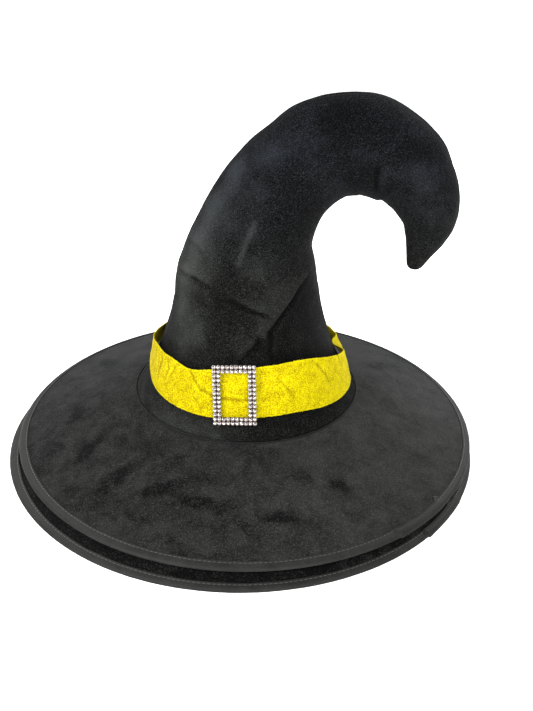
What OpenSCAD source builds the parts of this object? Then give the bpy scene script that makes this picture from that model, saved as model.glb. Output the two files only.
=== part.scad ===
// Witch hat: a tall velvet crown that curls over to one side, on a double brim,
// with a loose cloth band and a stone-set slide buckle.
// Millimetres. The origin is the centre of the head opening at the sweatband's
// lower edge. +Z is up, the buckle faces -Y and the crown curls towards +X.

/* [Head opening] */
// Inner radius of the sweatband
head_r = 90; // [80:0.5:110]
// Thickness of the sweatband's ribbon
sweatband_t = 0.5; // [0.4:0.1:1.2]
// Height of the sweatband up the inside of the crown
sweatband_h = 24; // [16:1:34]
// Height of the crown and brim seam above the sweatband's lower edge
seam_z = 9; // [7:0.5:14]

/* [Crown] */
// Thickness of the crown's backed velvet
crown_t = 1.1; // [0.8:0.1:2]
// Radius that the foot of the crown narrows towards
throat_r = 47; // [40:1:60]
// Height over which the flared foot narrows
flare_h = 60; // [45:1:80]
// Height at which the crown starts to lean over
lean_z = 111; // [95:1:140]
// Rise of the curl's centre line above the place where the lean starts
curl_h = 100; // [80:1:130]
// Depth of the curl from front to back, as a part of its width
curl_depth = 0.84; // [0.7:0.01:1]
// Thickness of the lining
lining_t = 0.5; // [0.3:0.1:1]
// Distance from the curl's filling down to the lining's closed top
lining_drop = 4; // [3:0.5:7]

/* [Brims] */
// Outer radius of the upper brim, over its binding
upper_r = 190; // [165:1:235]
// How much wider the lower brim is than the upper one
lower_extra = 3; // [1:0.5:8]
// Fall of the upper brim from the crown seam to its edge
brim_fall = 34.6; // [20:0.2:50]
// Space between the two brims at the head opening
brim_gap = 5; // [4:0.1:12]
// Least space between the two bindings
rim_gap = 0.5; // [0.3:0.1:3]
// Offset of the lower brim's edge towards -X
lower_shift_x = 4; // [0:0.5:6]
// Offset of the lower brim's edge towards -Y
lower_shift_y = 4; // [0:0.5:6]
// Thickness of a brim's velvet top
velvet_t = 0.7; // [0.5:0.1:1.2]
// Thickness of a brim's foam core
foam_t = 1.4; // [1.2:0.1:4]
// Thickness of a brim's woven backing
backing_t = 0.7; // [0.4:0.1:1.2]
// Width of the binding on the brim's face
binding_w = 6; // [5:0.5:14]
// Thickness of the binding's cloth
binding_t = 0.45; // [0.3:0.05:0.8]
// Width of the flat under the lower binding that the hat stands on
foot_w = 2.2; // [1.5:0.1:4]
// Thickness of the wire hoop in each brim's edge
hoop_d = 0.8; // [0.5:0.1:1]

/* [Band] */
// Width of the band, from edge to edge
band_w = 37; // [28:0.5:46]
// Thickness of the folded band
band_t = 1; // [0.6:0.1:2]
// Lean of the band towards the crown, in degrees
band_lean = 15; // [8:0.5:20]
// Looseness of the band round the crown at its lower edge
band_ease = 4.7; // [4:0.1:10]
// Height of the band's lower edge
band_z = 27; // [22:0.5:45]

/* [Buckle] */
// Distance between neighbouring stones
stone_pitch = 3.3; // [2.8:0.1:4.2]
// Stones across the buckle
stones_wide = 10; // [8:1:14]
// How far the buckle reaches past each edge of the band, before rounding up to whole stones
buckle_over = 4.5; // [4.2:0.1:8]
// Rows of stones in each side of the frame
frame_rows = 2; // [1:1:3]
// Thickness of the buckle's plate
plate_t = 1.2; // [0.8:0.1:2]
// How far the plate's edges stand inside the outline of the stones
plate_inset = 0.7; // [0:0.1:1]
// Place of the buckle round the crown, in degrees from the front
buckle_turn = -4.5; // [-30:0.5:30]
// Tilt of the buckle on the band, in degrees
buckle_tilt = 3; // [-5:0.5:5]
// Width of the bar behind the band
bar_w = 5; // [3:0.5:8]
// Thickness of the bar behind the band
bar_t = 1; // [0.8:0.1:1.5]

/* [Hidden] */

round_fn = 96;
small_fn = 16;
fit_gap = 0.2;           // space between cloths that lie face to face
wall_gap = 0.4;          // space between the crown's wall and the sweatband
sewn_gap = 0.8;          // space inside the crown's wall, for its seam
thread_r = 0.2;          // sewing thread
seam_cord_r = 0.4;       // heavier thread round the foot of the crown
run_gap = 0.9;           // space on each side of the band inside the buckle

velvet_black = "#17181b";
satin_grey = "#3a3d3b";
cloth_black = "#101112";
band_yellow = "#dcc51e";
stone_white = "#dfe4ea";

tape_t = 0.4;            // tape round the head opening
seam_r = head_r + sweatband_t + wall_gap + crown_t;
opening_r = head_r + sweatband_t + fit_gap + tape_t + fit_gap;

brim_t = velvet_t + foam_t + backing_t;
upper_slope = brim_fall / (upper_r - seam_r);
lower_r = upper_r + lower_extra;
shift_len = norm([lower_shift_x, lower_shift_y]);
lower_start = seam_z - brim_t - brim_gap;
lower_slope = (brim_fall - brim_gap + 2 * binding_t + rim_gap) / (upper_r - shift_len - seam_r);
rest_z = lower_start - lower_slope * (lower_r - seam_r) - brim_t - binding_t;

// Height of each brim's velvet at radius r
function upper_top(r) = seam_z - upper_slope * (r - seam_r);
function lower_top(r) = lower_start - lower_slope * (r - seam_r);

// ---- crown: rings of points along a centre line in the XZ plane ----

crown_foot_z = upper_top(seam_r - crown_t) + fit_gap;
bend_start = 26;         // how far below lean_z the curl's first station is
straight_rings = 9;
ring_steps = 3;          // rings between two stations of the curl
panel_sides = 20;        // facets round each half of the crown

// Radius of the straight part of the crown at height z
function crown_r(z) = throat_r + (seam_r - throat_r) * exp(-(z - seam_z) / flare_h);
lean_r = crown_r(lean_z);

// Width of the straight crown at a step dz of the curl, as a part of its width at lean_z
function straight_w(dz) = crown_r(lean_z + dz * curl_h / 100) / lean_r;

// Stations of the curl: steps along X and Z from the start of the lean, for a
// curl 100 high, and half the width there as a part of the width at the start
CURL = [[0, -60, straight_w(-60)], [0, -bend_start, straight_w(-bend_start)],
    [1, 0, 1], [8, 37, 0.82], [27, 72, 0.70], [57, 96, 0.68], [88, 99, 0.66],
    [115, 86, 0.585], [128.5, 71, 0.505], [135.5, 57, 0.45], [138, 44, 0.385], [136.5, 31, 0.29],
    [133.5, 20, 0.20], [131.5, 10, 0.115], [130.5, 4, 0.03], [130, 2, 0.01]];
curl_spans = len(CURL) - 3;

// A point at t from 0 to 1 on the smooth curve from b to c, with neighbours a and d
function smooth_point(a, b, c, d, t) =
    0.5 * (2 * b + (c - a) * t + (2 * a - 5 * b + 4 * c - d) * pow(t, 2)
    + (3 * b - a - 3 * c + d) * pow(t, 3));
// Its direction there
function smooth_slope(a, b, c, d, t) =
    0.5 * ((c - a) + 2 * (2 * a - 5 * b + 4 * c - d) * t + 3 * (3 * b - a - 3 * c + d) * pow(t, 2));

// A ring is [x, z, half width, half depth, direction of its width as x and z]
function curl_ring(k) =
    let (i = min(floor(k / ring_steps), curl_spans - 1), t = k / ring_steps - i,
        s = smooth_point(CURL[i], CURL[i + 1], CURL[i + 2], CURL[i + 3], t),
        v = smooth_slope(CURL[i], CURL[i + 1], CURL[i + 2], CURL[i + 3], t),
        l = norm([v[0], v[1]]), w = lean_r * s[2],
        flat = 1 - (1 - curl_depth) * min(1, k / (4 * ring_steps)))
    [s[0] * curl_h / 100, lean_z + s[1] * curl_h / 100, w, w * flat, v[1] / l, -v[0] / l];

straight_top = lean_z - (bend_start + 8) * curl_h / 100;
RINGS = concat(
    [for (k = [0 : straight_rings])
        let (z = crown_foot_z + (straight_top - crown_foot_z) * k / straight_rings)
        [0, z, crown_r(z), crown_r(z), 1, 0]],
    [for (k = [0 : curl_spans * ring_steps]) curl_ring(k)]);
last_ring = len(RINGS) - 1;
// The first ring that is clear above the sweatband
inside_ring = [for (k = [0 : last_ring]) if (RINGS[k][1] > sweatband_h + fit_gap) k][0];
wadding_ring = straight_rings + 3;       // the wadding starts here, above the lining
tip_rings = 2 * ring_steps;              // rings of the tip that the wadding doesn't reach

// A point of ring s at angle a, inset towards the centre line
function ring_point(s, a, inset) =
    let (w = max(s[2] - inset, 0.1), d = max(s[3] - inset, 0.1))
    [s[0] + w * cos(a) * s[4], d * sin(a), s[1] + w * cos(a) * s[5]];

// A closed ring of points, n round
function full_ring(s, inset, n) = [for (j = [0 : n - 1]) ring_point(s, 360 * j / n, inset)];
function flipped(v) = [for (i = [len(v) - 1 : -1 : 0]) v[i]];

// A solid through a list of rings with the same number of points, closed at both
// ends by the given faces
module loft(rings, end_faces) {
    n = len(rings[0]);
    last = len(rings) - 1;
    sides = [for (i = [0 : last - 1], j = [0 : n - 1])
        let (a = i * n + j, b = i * n + (j + 1) % n)
        each [[a, a + n, b + n], [a, b + n, b]]];
    tops = [for (f = end_faces) [for (k = flipped(f)) k + last * n]];
    polyhedron(points = [for (r = rings) each r], faces = concat(end_faces, tops, sides));
}

// Half of the crown's wall: a = 180 is the front, a = 0 is the back
module crown_panel(start) {
    m = panel_sides;
    rings = [for (s = RINGS) concat(
        [for (j = [0 : m]) ring_point(s, start + 180 * j / m, 0)],
        [for (j = [m : -1 : 0]) ring_point(s, start + 180 * j / m, crown_t)])];
    loft(rings, [for (j = [0 : m - 1]) [j, j + 1, 2 * m - j, 2 * m + 1 - j]]);
}

module crown_front_panel() { color(velvet_black) crown_panel(180); }

module crown_back_panel() { color(velvet_black) crown_panel(0); }

// Two lines of thread inside the wall, where the panels meet
module crown_seam_thread() {
    sides = 6;
    inset = crown_t + fit_gap / 2 + thread_r;
    steps = [for (k = [inside_ring : last_ring - ring_steps]) RINGS[k]];
    color(cloth_black) for (side = [1, -1]) loft([for (s = steps) [for (j = [0 : sides - 1])
        let (w = side * (s[2] - inset) + thread_r * cos(360 * j / sides))
        [s[0] + w * s[4], thread_r * sin(360 * j / sides), s[1] + w * s[5]]]],
        [[for (j = [0 : sides - 1]) j]]);
}

// A closed bag of lining, from the sweatband's top edge to below the wadding
module crown_lining() {
    n = 2 * panel_sides;
    out = crown_t + sewn_gap;
    below = RINGS[wadding_ring - 1];
    above = RINGS[wadding_ring];
    top = below + (above - below) * (1 - lining_drop / (above[1] - below[1]));
    lid = [top[0], top[1] + lining_t, top[2], top[3], top[4], top[5]];
    wall = concat([for (k = [inside_ring : wadding_ring - 1]) RINGS[k]], [top]);
    face = [[for (j = [0 : n - 1]) j]];
    color(cloth_black) loft(concat(
        [for (s = flipped(wall)) full_ring(s, out + lining_t, n)],
        [for (s = wall) full_ring(s, out, n)],
        [full_ring(lid, out, n)]), face);
}

// Fibre filling that holds the curl's shape
module curl_wadding() {
    n = 24;
    color("#c9c6bd") loft(
        [for (k = [wadding_ring : last_ring - tip_rings]) full_ring(RINGS[k], crown_t + sewn_gap, n)],
        [[for (j = [0 : n - 1]) j]]);
}

// A ribbon wall, straight at the head opening, that follows the crown inwards above it
module sweatband() {
    out = crown_t + wall_gap;
    steps = 4;
    climb = [for (k = [0 : steps]) seam_z + (sweatband_h - seam_z) * k / steps];
    inner = [for (z = climb) [crown_r(z) - out - sweatband_t, z]];
    outer = [for (z = flipped(climb)) [crown_r(z) - out, z]];
    color(cloth_black) rotate_extrude($fn = round_fn)
        polygon(concat([[head_r, 0]], inner, outer, [[head_r + sweatband_t, 0]]));
}

// Heavier thread in the corner between the crown and the brim
module crown_brim_thread() {
    r = seam_r + seam_cord_r + fit_gap;
    color(cloth_black) translate([0, 0, upper_top(r) + seam_cord_r + fit_gap])
        rotate_extrude($fn = round_fn) translate([r, 0]) circle(r = seam_cord_r, $fn = small_fn);
}

// ---- brims: shallow cones of velvet, foam and backing, bound at the edge ----

// A cone-shaped layer whose top is `down` below a cone that has height z0 at radius r0
module layer(r0, r1, z0, slope, down, t) {
    z1 = z0 - slope * (r1 - r0);
    rotate_extrude($fn = round_fn)
        polygon([[r0, z0 - down], [r0, z0 - down - t], [r1, z1 - down - t], [r1, z1 - down]]);
}

hoop_inset = binding_t + 2 * hoop_d;

// The wire hoop in the middle of the foam, near the edge of radius r
module hoop(r, top, slope) {
    c = r - hoop_inset;
    translate([0, 0, top + slope * hoop_inset - velvet_t - foam_t / 2])
        rotate_extrude($fn = round_fn) translate([c, 0]) circle(r = hoop_d / 2, $fn = small_fn);
}

// Folded binding on an edge of radius r, where the velvet has height `top`; its
// underside has a flat of width `foot`
module binding(r, top, slope, foot) {
    ri = r - binding_w;
    re = r - binding_t;
    up = top + binding_t;
    low = top - brim_t - binding_t;
    rotate_extrude($fn = round_fn) polygon([
        [ri, up + slope * binding_w], [ri, top + slope * binding_w],
        [re, top + slope * binding_t], [re, top + slope * binding_t - brim_t],
        [ri, top + slope * binding_w - brim_t], [ri, low + slope * binding_w],
        [r - foot, low + slope * foot], [r - foot, low], [r, low], [r, up]]);
}

// The line of stitching near the binding's inner edge
module binding_thread(r, top, slope) {
    c = binding_w - 1.2;
    translate([0, 0, top + binding_t + slope * c + thread_r + fit_gap / 2])
        rotate_extrude($fn = round_fn) translate([r - c, 0]) circle(r = thread_r, $fn = small_fn);
}

module upper_layer(down, t) {
    layer(opening_r, upper_r - binding_t, upper_top(opening_r), upper_slope, down, t);
}

// The lower brim's cones stand off centre, and its opening stays on the axis
module shifted() { translate([-lower_shift_x, -lower_shift_y, 0]) children(); }

module lower_layer(down, t) {
    inner = opening_r - shift_len;
    difference() {
        shifted() layer(inner, lower_r - binding_t, lower_top(inner), lower_slope, down, t);
        translate([0, 0, rest_z]) cylinder(r = opening_r, h = seam_z - rest_z, $fn = round_fn);
    }
}

upper_edge = upper_top(upper_r);
lower_edge = lower_top(lower_r);

module upper_brim_velvet() { color(velvet_black) upper_layer(0, velvet_t); }

module upper_brim_foam() {
    color("#2b2b2b") difference() {
        upper_layer(velvet_t, foam_t);
        hoop(upper_r, upper_edge, upper_slope);
    }
}

module upper_brim_backing() { color(cloth_black) upper_layer(velvet_t + foam_t, backing_t); }

module upper_brim_hoop() { color("#8b8f93") hoop(upper_r, upper_edge, upper_slope); }

module upper_brim_binding() { color(satin_grey) binding(upper_r, upper_edge, upper_slope, 0.5); }

module upper_binding_thread() { color(satin_grey) binding_thread(upper_r, upper_edge, upper_slope); }

module lower_brim_velvet() { color(velvet_black) lower_layer(0, velvet_t); }

module lower_brim_foam() {
    color("#2b2b2b") difference() {
        lower_layer(velvet_t, foam_t);
        shifted() hoop(lower_r, lower_edge, lower_slope);
    }
}

module lower_brim_backing() { color(cloth_black) lower_layer(velvet_t + foam_t, backing_t); }

module lower_brim_hoop() { color("#8b8f93") shifted() hoop(lower_r, lower_edge, lower_slope); }

module lower_brim_binding() {
    color(satin_grey) shifted() binding(lower_r, lower_edge, lower_slope, foot_w);
}

module lower_binding_thread() {
    color(satin_grey) shifted() binding_thread(lower_r, lower_edge, lower_slope);
}

// Tape over the raw edges of both brims, round the head opening
module opening_tape() {
    low = lower_start - brim_t - lower_slope * shift_len;
    color(cloth_black) translate([0, 0, low]) difference() {
        cylinder(r = opening_r - fit_gap, h = seam_z - low, $fn = round_fn);
        translate([0, 0, -1]) cylinder(r = opening_r - fit_gap - tape_t, h = seam_z - low + 2, $fn = round_fn);
    }
}

// ---- band and buckle ----

band_r = crown_r(band_z) + band_ease;
band_rise = band_w * cos(band_lean);
band_in = band_w * sin(band_lean);

module hat_band() {
    top_r = band_r - band_in;
    top_z = band_z + band_rise;
    color(band_yellow) rotate_extrude($fn = round_fn)
        polygon([[band_r, band_z], [band_r + band_t, band_z], [top_r + band_t, top_z], [top_r, top_z]]);
}

// A short row of stitches on the inside, where the loop's ends are sewn, at +X
module band_join_thread() {
    stitches = 8;
    pitch = (band_w - 6) / (stitches - 1);
    place = fit_gap / 2 + thread_r;
    color(band_yellow) for (k = [0 : stitches - 1]) {
        up = 3 + k * pitch;
        x = band_r - up * sin(band_lean) - place / cos(band_lean);
        translate([x, 0, band_z + up * cos(band_lean)]) rotate([90, 0, 0])
            cylinder(r = thread_r, h = 3, center = true, $fn = small_fn);
    }
}

// The buckle's own axes: X across, Y up the leaning band, Z outwards, with 0 on
// the back of its plate
module buckle_place() {
    mid = band_r + band_t - band_in / 2;
    rotate([0, 0, buckle_turn]) translate([0, -mid, band_z + band_rise / 2])
        rotate([90 - band_lean, 0, 0]) rotate([0, 0, buckle_tilt]) translate([0, 0, run_gap]) children();
}

stones_tall = ceil((band_w + 2 * buckle_over) / stone_pitch);
buckle_w = stones_wide * stone_pitch;
buckle_h = stones_tall * stone_pitch;
frame_side = frame_rows * stone_pitch;

// A plate of width w and height h, centred on the buckle, from z up to z + t
module plate(w, h, z, t) { translate([-w / 2, -h / 2, z]) cube([w, h, t]); }

module buckle_frame() {
    color("silver") buckle_place() difference() {
        plate(buckle_w - 2 * plate_inset, buckle_h - 2 * plate_inset, 0, plate_t);
        plate(buckle_w - 2 * frame_side + 2 * plate_inset, buckle_h - 2 * frame_side + 2 * plate_inset,
            -1, plate_t + 2);
    }
}

// Puts its children at every stone's place in the frame
module at_stones() {
    for (i = [0 : stones_wide - 1], j = [0 : stones_tall - 1])
        if (min(i, stones_wide - 1 - i, j, stones_tall - 1 - j) < frame_rows)
            translate([(i + 0.5) * stone_pitch - buckle_w / 2, (j + 0.5) * stone_pitch - buckle_h / 2, plate_t])
                children();
}

cup_r = stone_pitch * 0.46;
cup_h = 1;
stone_r = cup_r - 0.3;
stone_h = 1.5;

module buckle_cups() {
    color("silver") buckle_place() at_stones() difference() {
        cylinder(r = cup_r, h = cup_h, $fn = small_fn);
        translate([0, 0, 0.2]) cylinder(r = stone_r + 0.05, h = cup_h, $fn = small_fn);
    }
}

module buckle_stones() {
    color(stone_white) buckle_place() at_stones()
        translate([0, 0, 0.2]) cylinder(r = stone_r, h = stone_h, $fn = 8);
}

// A strip behind the band, held off the plate by a post above and one below the band
module buckle_bar() {
    depth = 2 * run_gap + band_t;
    post_r = 1.2;
    post_y = band_w / 2 + run_gap + post_r + fit_gap;
    color("silver") buckle_place() union() {
        translate([-bar_w / 2, -post_y - post_r, -depth - bar_t]) cube([bar_w, 2 * (post_y + post_r), bar_t]);
        for (y = [-post_y, post_y])
            translate([0, y, -depth - bar_t / 2]) cylinder(r = post_r, h = depth + bar_t / 2, $fn = 24);
    }
}

crown_front_panel();
crown_back_panel();
crown_seam_thread();
crown_lining();
curl_wadding();
sweatband();
opening_tape();
crown_brim_thread();
upper_brim_velvet();
upper_brim_foam();
upper_brim_backing();
upper_brim_hoop();
upper_brim_binding();
upper_binding_thread();
lower_brim_velvet();
lower_brim_foam();
lower_brim_backing();
lower_brim_hoop();
lower_brim_binding();
lower_binding_thread();
hat_band();
band_join_thread();
buckle_frame();
buckle_cups();
buckle_stones();
buckle_bar();
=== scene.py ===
import math

import bpy
import numpy as np
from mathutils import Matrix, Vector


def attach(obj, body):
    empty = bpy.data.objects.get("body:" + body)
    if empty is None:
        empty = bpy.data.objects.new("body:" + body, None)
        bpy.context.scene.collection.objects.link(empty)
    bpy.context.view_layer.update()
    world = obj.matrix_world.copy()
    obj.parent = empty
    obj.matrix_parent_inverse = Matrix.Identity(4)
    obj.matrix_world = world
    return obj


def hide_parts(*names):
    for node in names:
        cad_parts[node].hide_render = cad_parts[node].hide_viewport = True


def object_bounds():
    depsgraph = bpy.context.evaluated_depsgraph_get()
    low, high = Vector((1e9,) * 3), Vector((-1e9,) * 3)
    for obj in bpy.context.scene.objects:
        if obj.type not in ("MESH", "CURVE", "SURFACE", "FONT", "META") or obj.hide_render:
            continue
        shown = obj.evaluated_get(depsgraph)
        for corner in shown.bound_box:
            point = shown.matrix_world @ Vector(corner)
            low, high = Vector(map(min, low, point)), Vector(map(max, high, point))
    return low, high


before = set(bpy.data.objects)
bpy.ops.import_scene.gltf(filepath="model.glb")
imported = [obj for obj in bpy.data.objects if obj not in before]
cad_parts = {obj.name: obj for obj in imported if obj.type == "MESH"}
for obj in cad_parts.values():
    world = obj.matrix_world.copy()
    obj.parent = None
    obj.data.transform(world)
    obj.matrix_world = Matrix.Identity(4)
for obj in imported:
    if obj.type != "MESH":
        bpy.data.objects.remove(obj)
cad_box = [list(corner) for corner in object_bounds()]

# ---- Camera, floor and light ------------------------------------------------
# The hat stands on a plain white studio table. A strong softbox hangs at the
# front left and a weaker one at the front right. Two more stand behind it: a
# small one at the left, which lights the crown's edge, and one at the right.


def srgb(text):
    """Linear red, green, blue and alpha of a colour given in sRGB hex."""
    parts = np.array([int(text[i:i + 2], 16) for i in (1, 3, 5)]) / 255
    linear = np.where(parts <= 0.04045, parts / 12.92, ((parts + 0.055) / 1.055) ** 2.4)
    return (*linear.tolist(), 1.0)


def add_node(tree, kind, inputs, **settings):
    """Adds a node, sets its settings, and sets or links its inputs by name or number."""
    node = tree.nodes.new(kind)
    for key, value in settings.items():
        setattr(node, key, value)
    for key, value in inputs.items():
        if isinstance(value, bpy.types.NodeSocket):
            tree.links.new(value, node.inputs[key])
        else:
            node.inputs[key].default_value = value
    return node


def new_material(name, constants):
    """A new material, its tree and its shader, with the constants set on the shader's sockets."""
    material = bpy.data.materials.new(name)
    material.use_nodes = True
    shader = material.node_tree.nodes["Principled BSDF"]
    for socket, value in constants.items():
        shader.inputs[socket].default_value = value
    return material, material.node_tree, shader


def aim(thing, place, target):
    """Puts a light or camera at a place, looking at a target, with its top side up."""
    thing.location = place
    away = np.array(place) - np.array(target)
    away = away / np.linalg.norm(away)
    right = np.cross((0.0, 0.0, 1.0), away)
    right = right / np.linalg.norm(right)
    up = np.cross(away, right)
    matrix = thing.matrix_world.copy()
    for row in range(3):
        matrix[row][0], matrix[row][1], matrix[row][2] = right[row], up[row], away[row]
        matrix[row][3] = place[row]
    thing.matrix_world = matrix
    return right, up, away


focal_length, sensor_size = 40.5225, 36.0
lens = bpy.data.cameras.new("camera")
lens.lens = focal_length
lens.sensor_width = sensor_size
camera = bpy.data.objects.new("camera", lens)
bpy.context.scene.collection.objects.link(camera)
bpy.context.scene.camera = camera
look_at = (0.01648, 0.0, 0.03489)
elevation, distance, roll = math.radians(28.09), 0.6673, math.radians(1.14)
stand = (look_at[0], -distance * math.cos(elevation), look_at[2] + distance * math.sin(elevation))
right, up, away = aim(camera, stand, look_at)
turned_right = right * math.cos(roll) + up * math.sin(roll)
turned_up = -right * math.sin(roll) + up * math.cos(roll)
matrix = camera.matrix_world.copy()
for row in range(3):
    matrix[row][0], matrix[row][1] = turned_right[row], turned_up[row]
camera.matrix_world = matrix

# Matt white laminate of a studio table, lit through from below
table_glow = 0.75
table_top, tree, shader = new_material("white studio table laminate", {
    "Base Color": srgb("#f6f6f6"), "Roughness": 0.9, "Specular IOR Level": 0.1,
    "Emission Color": srgb("#ffffff"), "Emission Strength": table_glow})
floor_z = cad_box[0][2]
far = 40.0
corners = [(-far, -far, floor_z), (far, -far, floor_z), (far, far, floor_z), (-far, far, floor_z)]
floor_mesh = bpy.data.meshes.new("floor")
floor_mesh.from_pydata(corners, [], [(0, 1, 2, 3)])
floor_mesh.materials.append(table_top)
floor = bpy.data.objects.new("floor", floor_mesh)
bpy.context.scene.collection.objects.link(floor)

room_light = 0.35
world = bpy.data.worlds.new("studio")
world.use_nodes = True
walls = world.node_tree.nodes["Background"]
walls.inputs["Color"].default_value = srgb("#ffffff")
walls.inputs["Strength"].default_value = room_light
bpy.context.scene.world = world
bpy.context.scene.view_settings.view_transform = "Standard"

# Each one's place and size in metres, and its power in watts
softboxes = {
    "softbox_left": ((-0.85, -0.85, 0.85), 0.6, 24.0),
    "softbox_front": ((0.45, -1.15, 0.6), 0.7, 16.0),
    "softbox_rim": ((-0.8, 0.5, 0.75), 0.35, 9.0),
    "softbox_right": ((0.8, 0.75, 0.75), 0.6, 12.0),
}
lit_point = (0.0, 0.0, 0.08)
for name, (place, size, power) in softboxes.items():
    light = bpy.data.lights.new(name, "AREA")
    light.shape = "SQUARE"
    light.size = size
    light.energy = power
    lamp = bpy.data.objects.new(name, light)
    bpy.context.scene.collection.objects.link(lamp)
    aim(lamp, place, lit_point)

# ---- Crown front panel ------------------------------------------------------
# Crushed black velvet on a thin backing, cut as one half of a tall cone that
# bends over to the right. It is sewn to the back panel along the outer and the
# inner line of the curl, and pushed in by hand into a few sharp creases.

# All in mm, but the curl's depth from front to back is a part of its width
head_r = 90.0
seam_z = 9.0
seam_r = 92.0
crown_t = 1.1
throat_r = 47.0
flare_h = 60.0
lean_z = 111.0
curl_depth = 0.84
brim_fall = 34.6
upper_r = 190.0
upper_slope = brim_fall / (upper_r - seam_r)
crown_foot_z = seam_z + upper_slope * crown_t + 0.2


def crown_r(z):
    """Radius of the straight crown: a flared foot that narrows exponentially to a throat."""
    return throat_r + (seam_r - throat_r) * np.exp(-(z - seam_z) / flare_h)


lean_r = crown_r(lean_z)


def straight_w(dz):
    """Radius of the straight crown dz above the lean's start, as a part of the radius there."""
    return crown_r(lean_z + dz) / lean_r


# Steps along X and Z from the start of the lean, and half the width there as a
# part of the radius at that start. The first and last only set the ends' slopes.
curl_stations = np.array([
    (0, -60, straight_w(-60)), (0, -26, straight_w(-26)), (1, 0, 1), (8, 37, 0.82),
    (27, 72, 0.70), (57, 96, 0.68), (88, 99, 0.66), (115, 86, 0.585), (128.5, 71, 0.505),
    (135.5, 57, 0.45), (138, 44, 0.385), (136.5, 31, 0.29), (133.8, 20, 0.205),
    (131.9, 12, 0.15), (131.0, 7.5, 0.118), (130.6, 4.6, 0.075), (130.5, 3.6, 0.018), (130.5, 3.4, 0.0)])


# The straight rings stop this far below the lean, and the curl flattens over so many spans
straight_stop = 34.0
flatten_spans = 4


def crown_rings(spacing):
    """Rings of the crown as rows of x, z, half width, half depth and the direction of the width.

    The straight part is a stack of circles. Above it a smooth curve through the
    stations (each span is a cubic with its ends' slopes from the neighbouring
    stations) gives the centre and width, and each ring stands square to the curve.
    """
    straight_top = lean_z - straight_stop
    z = np.linspace(crown_foot_z, straight_top, int((straight_top - crown_foot_z) / spacing))
    straight = np.stack([0 * z, z, crown_r(z), crown_r(z), 0 * z + 1, 0 * z], axis=1)
    a, b, c, d = (curl_stations[k:len(curl_stations) - 3 + k] for k in range(4))
    rings = []
    for span in range(len(a)):
        length = np.hypot(*(c[span] - b[span])[:2])
        t = np.linspace(0, 1, max(4, int(length / spacing)), endpoint=False)[:, None]
        linear = (c - a)[span]
        square = (2 * a - 5 * b + 4 * c - d)[span]
        cube = (3 * b - a - 3 * c + d)[span]
        point = 0.5 * (2 * b[span] + linear * t + square * t ** 2 + cube * t ** 3)
        slope = 0.5 * (linear + 2 * square * t + 3 * cube * t ** 2)
        slope = slope[:, :2] / np.hypot(slope[:, 0], slope[:, 1])[:, None]
        flat = 1 - (1 - curl_depth) * np.minimum(1, (span + t[:, 0]) / flatten_spans)
        width = lean_r * point[:, 2]
        rings.append(np.stack([point[:, 0], lean_z + point[:, 1], width, width * flat, slope[:, 1],
            -slope[:, 0]], axis=1))
    return np.concatenate([straight, *rings])


def ripple(points, wavelength, seed):
    """A soft uneven field of about -1 to 1: seven sine waves in random directions, added up over 4.5."""
    rng = np.random.default_rng(seed)
    ways = rng.normal(size=(7, 3))
    ways /= np.linalg.norm(ways, axis=1)[:, None]
    phases = rng.uniform(0, 2 * math.pi, 7)
    lengths = wavelength * rng.uniform(0.75, 1.35, 7)
    return sum(np.sin(points @ way * 2 * math.pi / size + phase)
        for way, phase, size in zip(ways, phases, lengths)) / 4.5


def line_distance(points, line):
    """Each point's distance to a bent line, its side of it by X and Z, and how far along it is, 0 to 1."""
    line = np.array(line, float)
    best = np.full(points.shape[:-1], 1e9)
    side, along = np.zeros_like(best), np.zeros_like(best)
    lengths = np.linalg.norm(np.diff(line, axis=0), axis=1)
    done = 0.0
    for start, end, length in zip(line[:-1], line[1:], lengths):
        way = (end - start) / length
        t = np.clip((points - start) @ way, 0, length)
        gap = points - start - t[..., None] * way
        away = np.linalg.norm(gap, axis=-1)
        nearer = away < best
        best = np.where(nearer, away, best)
        side = np.where(nearer, np.sign(way[0] * gap[..., 2] - way[2] * gap[..., 0]), side)
        along = np.where(nearer, (done + t) / lengths.sum(), along)
        done += length
    return best, side, along


# Creases pushed into the velvet: a line over the surface, its depth, its half
# width, and how much the cloth stands proud on the line's left side
crown_creases = [
    ([(-6, -65, 62), (8, -61, 75), (19, -56, 86), (26, -51, 95), (34, -43, 104), (40, -36, 112),
        (48, -24, 119)], 1.7, 2.0, 1.5),
    ([(-14, -53, 109), (3, -55, 102), (19, -54, 96)], 1.2, 1.8, 0.8),
    ([(19, -57, 84), (20, -59, 73), (20, -62, 63)], 0.9, 1.8, 0.5),
    ([(-52, -17, 117), (-38, -36, 118), (-24, -47, 114)], 1.3, 2.2, 0.9),
    ([(-45, -9, 140), (-37, -25, 140), (-31, -33, 136)], 0.9, 1.8, 0.5),
    ([(93, -31, 206), (92, -27, 192), (93, -19, 182)], 1.3, 2.0, 0.5),
    ([(-40, 40, 92), (-18, 52, 104), (8, 50, 118), (30, 40, 133)], 1.6, 2.2, 1.2),
    ([(-22, 55, 80), (4, 58, 86), (30, 50, 84)], 1.1, 2.0, 0.7),
    ([(16, 36, 176), (34, 34, 166), (52, 22, 158)], 1.2, 2.0, 0.8),
    ([(40, 32, 210), (62, 34, 204), (74, 26, 188)], 0.9, 1.8, 0.5),
]


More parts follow.
